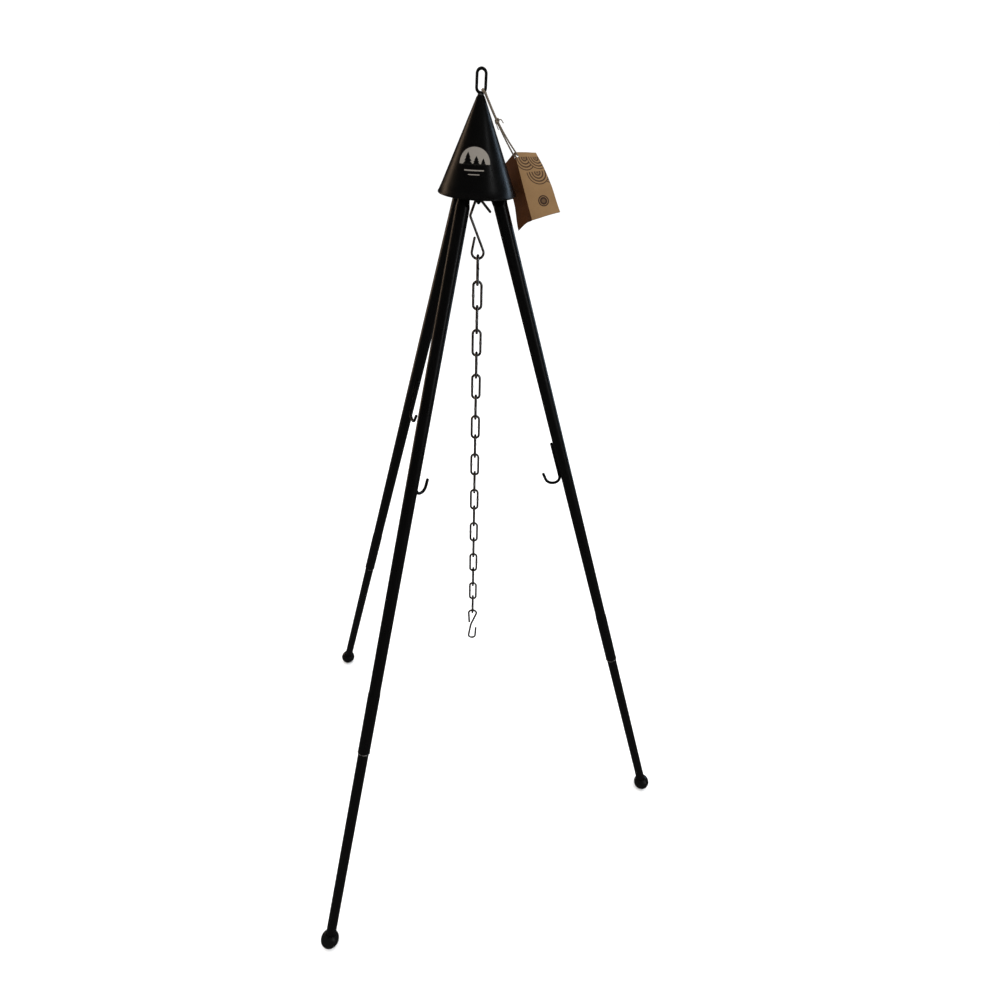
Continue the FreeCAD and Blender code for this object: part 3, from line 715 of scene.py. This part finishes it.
# ------------ legs
class TRIPOD_OT_socket_rims(bpy.types.Operator):
    """Rolls a thin bright rim round the mouth of each leg's socket"""
    bl_idname = "tripod.socket_rims"
    bl_label = "Socket rims"

    def execute(self, context):
        radius = context.scene.tripod_details.rim_radius
        mouth = 652 * MM  # below the hinge pin
        middle_radius, bore = 7.2 * MM, 6.78 * MM
        section = arc((middle_radius, -mouth), radius, 0, 324, 10)
        section = [(max(r, bore), z) for r, z in section]
        rim = turned_profile("rim", section, segments=64, ring=True)
        finish = worn_rim()
        for side in SIDES:
            piece = copied(rim, "socket_rim_" + side, leg_frame(side))
            complete(piece, "leg_" + side, finish, 60)
        bpy.data.objects.remove(rim)
        return {"FINISHED"}


class TRIPOD_OT_feet(bpy.types.Operator):
    """Turns the ball feet, with a mould line round each and a lip that grips the tube"""
    bl_idname = "tripod.feet"
    bl_label = "Ball feet"

    def execute(self, context):
        ball = ball_centre("front")[1]
        tube = 6.7 * MM
        seat = 4 * MM
        lip = 8.0 * MM
        lip_angle = math.degrees(math.acos(lip / ball))
        line = 0.28 * MM
        line_angle = math.degrees(math.asin(0.45 * MM / ball))
        profile = arc((0, 0), ball, -90, -line_angle, 22)
        profile += [(ball - line, -0.15 * MM), (ball - line, 0.15 * MM)]
        profile += arc((0, 0), ball, line_angle, lip_angle, 14)
        top = ball * math.sin(math.radians(lip_angle))
        profile += [(lip, top + 0.9 * MM), (lip - 0.35 * MM, top + 1.25 * MM),
                    (tube + 0.2 * MM, top + 1.25 * MM), (tube, top + 1.0 * MM),
                    (tube, seat), (0, seat)]
        foot = turned_profile("foot", profile, segments=72)
        finish = foot_plastic()
        for side in SIDES:
            place = leg_frame(side)
            place.translation = ball_centre(side)[0]
            piece = copied(foot, "foot_" + side, place)
            complete(piece, "shank_" + side, finish, 32)
            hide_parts("ball_foot_" + side)
        bpy.data.objects.remove(foot)
        return {"FINISHED"}


class TRIPOD_OT_hook_welds(bpy.types.Operator):
    """Lays two rippled beads of weld between each leg hook's shank and its tube"""
    bl_idname = "tripod.hook_welds"
    bl_label = "Hook welds"

    def execute(self, context):
        radius = context.scene.tripod_details.weld_radius
        ripples = 12
        step = -2 * MM
        inward, apart = -6.75 * MM, 2.2 * MM
        start = 44 * MM  # above the hook's own level
        profile = [(0, 0)]
        for i in range(ripples):
            profile.append((radius * (0.82 if i else 0.6), step * (i + 0.15)))
            profile.append((radius * (1.0 if i < ripples - 1 else 0.6), step * (i + 0.6)))
        profile.append((0, step * ripples))
        bead = turned_profile("bead", profile, segments=14)
        for side in SIDES:
            drop, turn = HOOKS[side]
            hook = leg_frame(side) @ Matrix.Rotation(math.radians(turn), 4, "Z")
            beads = [copied(bead, "bead_copy", hook @ Matrix.Translation(
                (inward, across * apart, start - drop))) for across in (-1, 1)]
            piece = joined(beads, "hook_weld_" + side)
            complete(piece, "leg_" + side,
                     bpy.data.materials["leg_paint_" + side], 50)
        bpy.data.objects.remove(bead)
        return {"FINISHED"}


# ------------ chain
class TRIPOD_OT_link_welds(bpy.types.Operator):
    """Adds the upset weld where the ends of each chain link meet, on alternate sides"""
    bl_idname = "tripod.link_welds"
    bl_label = "Link welds"

    def execute(self, context):
        wire = 1.4 * MM
        profile = [(wire * 0.9, -2.6 * MM), (wire * 1.01, -2.4 * MM), (wire * 1.12, -0.9 * MM),
                   (wire * 1.2, -0.35 * MM), (wire * 1.07, 0.0), (wire * 1.22, 0.35 * MM),
                   (wire * 1.12, 0.9 * MM), (wire * 1.01, 2.4 * MM), (wire * 0.9, 2.6 * MM)]
        weld = turned_profile("weld", profile, segments=20, ring=True)
        finish = bpy.data.materials["bright_steel"]
        for number in range(1, LINK_COUNT + 1):
            node = "chain_link_%02d" % number
            low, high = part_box(node)
            centre = (low + high) / 2
            reach = max(high.x - low.x, high.y - low.y) / 2 - wire
            side = 1 if number % 4 < 2 else -1
            edge_on = number % 2 == 1
            offset = Vector((0, reach * side, 0)) if edge_on else Vector((reach * side, 0, 0))
            piece = copied(weld, "link_weld_%02d" % number,
                           Matrix.Translation(centre + offset))
            complete(piece, node, finish, 50)
        bpy.data.objects.remove(weld)
        return {"FINISHED"}


# ------------ hang tag
# Places on the tag, from the hub axis: across, towards the back, height, in millimetres.
HITCH = Vector((5.2, 0.0, 1000.0))
KNOT = Vector((17.4, 4.0, 977.1))
FOLD_TOP = Vector((34.7, 11.7, 951.5))
FOLD_END = Vector((54.6, -13.0, 895.7))
FRONT_LEAF = Vector((0.904, 0.42, 0.071))
BACK_LEAF = Vector((-0.35, 0.84, -0.4))
HOLE_ALONG, HOLE_ACROSS = 3.2, 2.4

# The strands' routes: from the hitch on the loop, through the knot, then into the leaves' holes.
STRAND_A = [(6.8, -0.8, 998.8), (11.2, 1.9, 989.6), (17.7, 4.9, 977.1), (28.0, 8.6, 961.4),
            (36.8, 10.5, 950.4), (37.9, 12.4, 948.6)]
STRAND_B = [(6.1, -2.6, 998.8), (10.6, 0.2, 989.4), (17.1, 3.1, 977.1), (26.0, 7.2, 961.6),
            (33.6, 11.2, 949.4), (35.2, 13.1, 947.2)]

# The knot's two short free ends.
KNOT_TAILS = [
    [(17.4, 4.0, 977.1), (16.9, 1.4, 975.4), (17.8, -0.2, 973.0), (19.2, -0.8, 970.4)],
    [(17.4, 4.0, 977.1), (19.6, 2.1, 978.9), (21.8, 1.0, 978.5), (23.4, 0.6, 975.9)],
]


def on_hub(point):
    return HUB + Vector(point) * MM


def leaf_axes():
    """Directions down the fold, and out along the front and the back leaf."""
    down = (FOLD_END - FOLD_TOP).normalized()
    front = (FRONT_LEAF - down * FRONT_LEAF.dot(down)).normalized()
    back = (BACK_LEAF - down * BACK_LEAF.dot(down)).normalized()
    return down, front, back


class TRIPOD_OT_tag_card(bpy.types.Operator):
    """Folds a sheet of kraft card, curls its corners and punches its two holes"""
    bl_idname = "tripod.tag_card"
    bl_label = "Tag card"

    def execute(self, context):
        size = context.scene.tripod_tag
        down, front, back = leaf_axes()
        wide, long = size.card_width, size.card_length
        deselect_all()
        bpy.ops.mesh.primitive_grid_add(x_subdivisions=36, y_subdivisions=36, size=1)
        card = bpy.context.object
        edit_all(card)
        bpy.ops.transform.resize(value=(2 * wide, long, 1), center_override=(0, 0, 0))
        bpy.ops.transform.translate(value=(0, -long / 2, 0))
        self.pull(card, (wide, -long), (0, 1.5 * MM, -3.2 * MM), 0.030)
        self.pull(card, (wide, 0), (0, 0, -1.2 * MM), 0.018)
        self.pull(card, (0.5 * wide, -long), (0, 0, 1.6 * MM), 0.020)
        self.pull(card, (-wide, -long), (0, 0, 3.0 * MM), 0.028)
        self.pull(card, (-0.5 * wide, -long), (0, 2.0 * MM, -1.5 * MM), 0.016)
        self.twist(card, size.twist_top, size.twist_foot)
        self.fold(card, front.angle(back))
        apply_modifier(card, "SOLIDIFY", thickness=size.card_thick, offset=-1.0,
                       material_offset=1, material_offset_rim=1)
        across = Matrix((front, -down, front.cross(-down))).transposed().to_4x4()
        settle(card, Matrix.Translation(on_hub(FOLD_TOP)) @ across)
        for leaf in (front, back):
            spot = on_hub(FOLD_TOP + down * HOLE_ALONG + leaf * HOLE_ACROSS)
            self.punch(card, spot, leaf.cross(down), size.hole_radius)
        edit_all(card)
        bpy.ops.mesh.normals_make_consistent(inside=False)
        object_mode()
        card.name = "card"
        card.data.materials.clear()
        card.data.materials.append(kraft("tag_printed", tag_print))
        card.data.materials.append(kraft("tag_plain"))
        complete(card, "tag", None, 30)
        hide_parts("tag_card")
        return {"FINISHED"}

    def pull(self, card, corner, value, reach):
        """Pulls the points near a corner, softly, as a hand would."""
        object_mode()
        for vertex in card.data.vertices:
            flat = math.hypot(vertex.co.x - corner[0], vertex.co.y - corner[1])
            share = max(0.0, 1 - flat / reach)
            vertex.co += Vector(value) * share * share * (3 - 2 * share)
        edit_mode()

    def twist(self, card, top, foot):
        """Turns the front leaf about the fold, by one angle at the top and another below."""
        object_mode()
        long = -min(vertex.co.y for vertex in card.data.vertices)
        for vertex in card.data.vertices:
            if vertex.co.x > 0:
                turn = top + (foot - top) * -vertex.co.y / long
                x, z = vertex.co.x, vertex.co.z
                vertex.co.x = x * math.cos(turn) - z * math.sin(turn)
                vertex.co.z = x * math.sin(turn) + z * math.cos(turn)
        edit_mode()

    def fold(self, card, opening):
        """Turns the back leaf about the fold until the leaves stand that far open."""
        select_points(card, lambda co: co.x < -0.1 * MM)
        bpy.ops.transform.rotate(value=math.pi - opening, orient_axis="Y",
                                 center_override=(0, 0, 0))
        object_mode()

    def punch(self, card, spot, through, radius):
        deselect_all()
        bpy.ops.mesh.primitive_cylinder_add(vertices=32, radius=radius, depth=6 * MM)
        drill = bpy.context.object
        drill.matrix_world = Matrix.Translation(spot) @ through.to_track_quat(
            "Z", "Y").to_matrix().to_4x4()
        bpy.context.view_layer.update()
        apply_modifier(card, "BOOLEAN", object=drill, operation="DIFFERENCE", solver="EXACT")
        bpy.data.objects.remove(drill)


def smooth_line(points):
    """The points down the middle of a strand's smooth route."""
    curve = bpy.data.curves.new("route", "CURVE")
    curve.dimensions = "3D"
    curve.resolution_u = 24
    spline = curve.splines.new("NURBS")
    spline.points.add(len(points) - 1)
    for control, point in zip(spline.points, points):
        control.co = (*on_hub(point), 1)
    spline.order_u = 3
    spline.use_endpoint_u = True
    route = bpy.data.objects.new("route", curve)
    mesh = bpy.data.meshes.new_from_object(route)
    line = [vertex.co.copy() for vertex in mesh.vertices]
    bpy.data.meshes.remove(mesh)
    bpy.data.objects.remove(route)
    bpy.data.curves.remove(curve)
    return line


def plied_twine(name, line, diameter, pitch):
    """Three plies laid round a line, as one mesh."""
    ply = 0.464 * diameter / 2
    offset = diameter / 2 - ply
    plies = []
    for turn in range(3):
        curve = bpy.data.curves.new(name, "CURVE")
        curve.dimensions = "3D"
        curve.bevel_depth = ply * 1.05
        curve.bevel_resolution = 2
        curve.use_fill_caps = True
        spline = curve.splines.new("POLY")
        spline.points.add(len(line) - 1)
        along = 0.0
        for i, point in enumerate(line):
            heading = (line[min(i + 1, len(line) - 1)] - line[max(i - 1, 0)]).normalized()
            side = heading.cross(Vector((0, 1, 0))).normalized()
            other = side.cross(heading)
            if i:
                along += (point - line[i - 1]).length
            angle = 2 * math.pi * (along / pitch + turn / 3)
            spot = point + (side * math.cos(angle) + other * math.sin(angle)) * offset
            spline.points[i].co = (*spot, 1)
        strand = bpy.data.objects.new(name, curve)
        bpy.context.scene.collection.objects.link(strand)
        only(strand)
        bpy.ops.object.convert(target="MESH")
        plies.append(strand)
    return joined(plies, name)


class TRIPOD_OT_tag_twine(bpy.types.Operator):
    """Ties the tag on: two strands of plied twine, a hitch round the loop and a knot"""
    bl_idname = "tripod.tag_twine"
    bl_label = "Tag twine"

    def execute(self, context):
        size = context.scene.tripod_tag
        finish = twine_fibre()
        knot = self.rings("knot", on_hub(KNOT), size, [
            (1.55, (0.5, 0.3, 0.0), (0, 0, 0)), (1.5, (1.5, 0.2, 0.5), (0.3, 0, 0.5)),
            (1.45, (0.9, 1.2, 0.2), (-0.2, 0.2, -0.7))])
        tails = [plied_twine("tail", smooth_line(route), 0.9 * MM, size.ply_pitch)
                 for route in KNOT_TAILS]
        knot = joined([knot] + tails, "knot")
        hitch = self.rings("hitch", on_hub(HITCH), size, [
            (2.3, (0, 0.8, 0), (-0.35, 0, -0.35)), (2.3, (0.08, 0.84, 0), (0.35, 0, 0.35))])
        for piece, node in ((knot, "tag_knot"), (hitch, "tag_hitch")):
            complete(piece, "tag", finish, 60)
            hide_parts(node)
        for name, points, holds in (("twine_a", STRAND_A, [knot]), ("twine_b", STRAND_B, [hitch])):
            line = smooth_line(points)
            strand = plied_twine(name, line, size.twine_diameter, size.ply_pitch)
            complete(strand, "tag", finish, 60)
            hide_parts("tag_" + name)
        return {"FINISHED"}

    def rings(self, name, spot, size, turns):
        """Turns of twine, each a ring with its own radius, tilt and place in millimetres."""
        pieces = []
        for radius, tilt, shift in turns:
            deselect_all()
            bpy.ops.mesh.primitive_torus_add(
                major_segments=40, minor_segments=12, major_radius=radius * MM,
                minor_radius=size.twine_diameter * 0.46, rotation=tilt,
                location=spot + Vector(shift) * MM)
            keep_place()
            pieces.append(bpy.context.object)
        return joined(pieces, name)


# ------------ finishes on the frame's nodes
class TRIPOD_OT_paint_nodes(bpy.types.Operator):
    """Gives every node of the frame its finish"""
    bl_idname = "tripod.paint_nodes"
    bl_label = "Paint nodes"

    def execute(self, context):
        bright = bright_steel()
        dark = dark_steel()
        paints = {side: leg_paint(side) for side in SIDES}
        for node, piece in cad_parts.items():
            if node.startswith("chain") or node == "pot_hook":
                self.paint(piece, bright)
            elif node.startswith(("upper_tube", "lower_tube", "leg_hook", "swivel_arm")):
                self.paint(piece, paints[node.rsplit("_", 1)[1]])
            elif not node.startswith(("tag", "ball_foot", "cone_hood")):
                self.paint(piece, dark)
        return {"FINISHED"}

    def paint(self, piece, finish):
        piece.data.materials.clear()
        piece.data.materials.append(finish)


# ------------ stage
# Soft lights: name, place, what it faces, width and height, watts and colour.
STRIP_LIGHTS = [
    ("overhead", (0.3, -0.3, 3.0), (0, 0, 0), (3.0, 3.0), 60, (1, 1, 1)),
    ("left_strip", (-1.7, 1.0, 0.9), (0, 0, 0.8), (0.5, 2.4), 8, (1.0, 0.72, 0.5)),
    ("right_strip", (1.5, 1.1, 0.9), (0, 0, 0.9), (0.4, 2.4), 8, (0.62, 0.8, 1.0)),
    ("front_strip", (1.9, -1.1, 1.3), (0, 0, 0.9), (0.22, 2.2), 5, (0.95, 0.97, 1.0)),
]
FLOOR_RADIUS = 30
FLOOR_LEVEL = -0.2 * MM


class TRIPOD_OT_stage(bpy.types.Operator):
    """Sets the pale floor, the soft lights and the camera"""
    bl_idname = "tripod.stage"
    bl_label = "Stage"

    def execute(self, context):
        scene = context.scene
        view = scene.tripod_view
        self.floor(view)
        self.surroundings(scene, view)
        for name, spot, aim, size, power, colour in STRIP_LIGHTS:
            self.light(name, spot, aim, size, power, colour)
        data = bpy.data.cameras.new("camera")
        data.lens = view.lens
        data.clip_start = 0.01
        camera = bpy.data.objects.new("camera", data)
        scene.collection.objects.link(camera)
        turn = Matrix.Rotation(math.pi / 2 - view.pitch, 4, "X") @ Matrix.Rotation(
            view.roll, 4, "Z")
        camera.matrix_world = Matrix.Translation(view.place) @ turn
        scene.camera = camera
        scene.view_settings.view_transform = "Standard"
        return {"FINISHED"}

    def floor(self, view):
        deselect_all()
        bpy.ops.mesh.primitive_circle_add(vertices=64, radius=FLOOR_RADIUS, fill_type="NGON",
                                          location=(0, 0, FLOOR_LEVEL))
        floor = bpy.context.object
        floor.name = "floor"
        pale = Finish("floor", Roughness=0.9, Specular_IOR_Level=0.1)
        cloud = pale.noise(pale.place(), 1.5, 3)
        pale.wire(Base_Color=pale.blend(cloud, rgba(view.backdrop_colour, 0.98),
                                        rgba(view.backdrop_colour, 1.02)))
        dim = pale.add("ShaderNodeBsdfDiffuse", {"Color": (0.04, 0.04, 0.04, 1)})
        seen = pale.add("ShaderNodeLightPath", output="Is Camera Ray")
        mix = pale.add("ShaderNodeMixShader", [
            (0, seen), (1, dim), (2, pale.shader.outputs[0])])
        pale.feed(pale.tree.nodes["Material Output"].inputs["Surface"], mix)
        floor.data.materials.append(pale.material)

    def surroundings(self, scene, view):
        """White all round, but dim where gloss would mirror it."""
        world = bpy.data.worlds.new("surroundings")
        scene.world = world
        world.use_nodes = True
        tree = world.node_tree
        path = tree.nodes.new("ShaderNodeLightPath")
        strength = tree.nodes.new("ShaderNodeMapRange")
        strength.inputs["To Min"].default_value = view.surroundings_strength
        strength.inputs["To Max"].default_value = view.mirrored_strength
        tree.links.new(path.outputs["Is Glossy Ray"], strength.inputs["Value"])
        tree.links.new(strength.outputs[0], tree.nodes["Background"].inputs["Strength"])
        tree.nodes["Background"].inputs["Color"].default_value = (1, 1, 1, 1)

    def light(self, name, spot, aim, size, power, colour):
        data = bpy.data.lights.new(name, "AREA")
        data.shape = "RECTANGLE"
        data.size, data.size_y = size
        data.energy = power
        data.color = colour
        lamp = bpy.data.objects.new(name, data)
        bpy.context.scene.collection.objects.link(lamp)
        lamp.location = spot
        lamp.rotation_euler = (Vector(aim) - Vector(spot)).to_track_quat("-Z", "Y").to_euler()
        lamp.visible_glossy = name != "overhead"


# ------------ add-on
STEPS = (TRIPOD_OT_stage, TRIPOD_OT_paint_nodes, TRIPOD_OT_tag_twine, TRIPOD_OT_tag_card,
         TRIPOD_OT_hood, TRIPOD_OT_loop_weld, TRIPOD_OT_socket_rims, TRIPOD_OT_feet,
         TRIPOD_OT_hook_welds, TRIPOD_OT_link_welds)
SETTINGS = {"tripod_finishes": TripodFinishes, "tripod_details": TripodDetails,
            "tripod_tag": TripodTag, "tripod_view": TripodView}


class TRIPOD_PT_sidebar(bpy.types.Panel):
    """The tripod's steps and settings"""
    bl_idname = "TRIPOD_PT_sidebar"
    bl_label = "Campfire Tripod"
    bl_space_type = "VIEW_3D"
    bl_region_type = "UI"
    bl_category = "Tripod"

    def draw(self, context):
        for step in STEPS:
            self.layout.operator(step.bl_idname)
        for name, group in SETTINGS.items():
            box = self.layout.box()
            for prop in group.__annotations__:
                box.prop(getattr(context.scene, name), prop)


CLASSES = (*SETTINGS.values(), *STEPS, TRIPOD_PT_sidebar)


def register():
    for cls in CLASSES:
        bpy.utils.register_class(cls)
    for name, group in SETTINGS.items():
        setattr(bpy.types.Scene, name, PointerProperty(type=group))


def unregister():
    for name in SETTINGS:
        delattr(bpy.types.Scene, name)
    for cls in reversed(CLASSES):
        bpy.utils.unregister_class(cls)


def main():
    register()
    bpy.ops.tripod.stage()
    bpy.ops.tripod.paint_nodes()
    bpy.ops.tripod.tag_twine()
    bpy.ops.tripod.tag_card()
    bpy.ops.tripod.hood()
    bpy.ops.tripod.loop_weld()
    bpy.ops.tripod.socket_rims()
    bpy.ops.tripod.feet()
    bpy.ops.tripod.hook_welds()
    bpy.ops.tripod.link_welds()


if __name__ == "__main__":
    main()
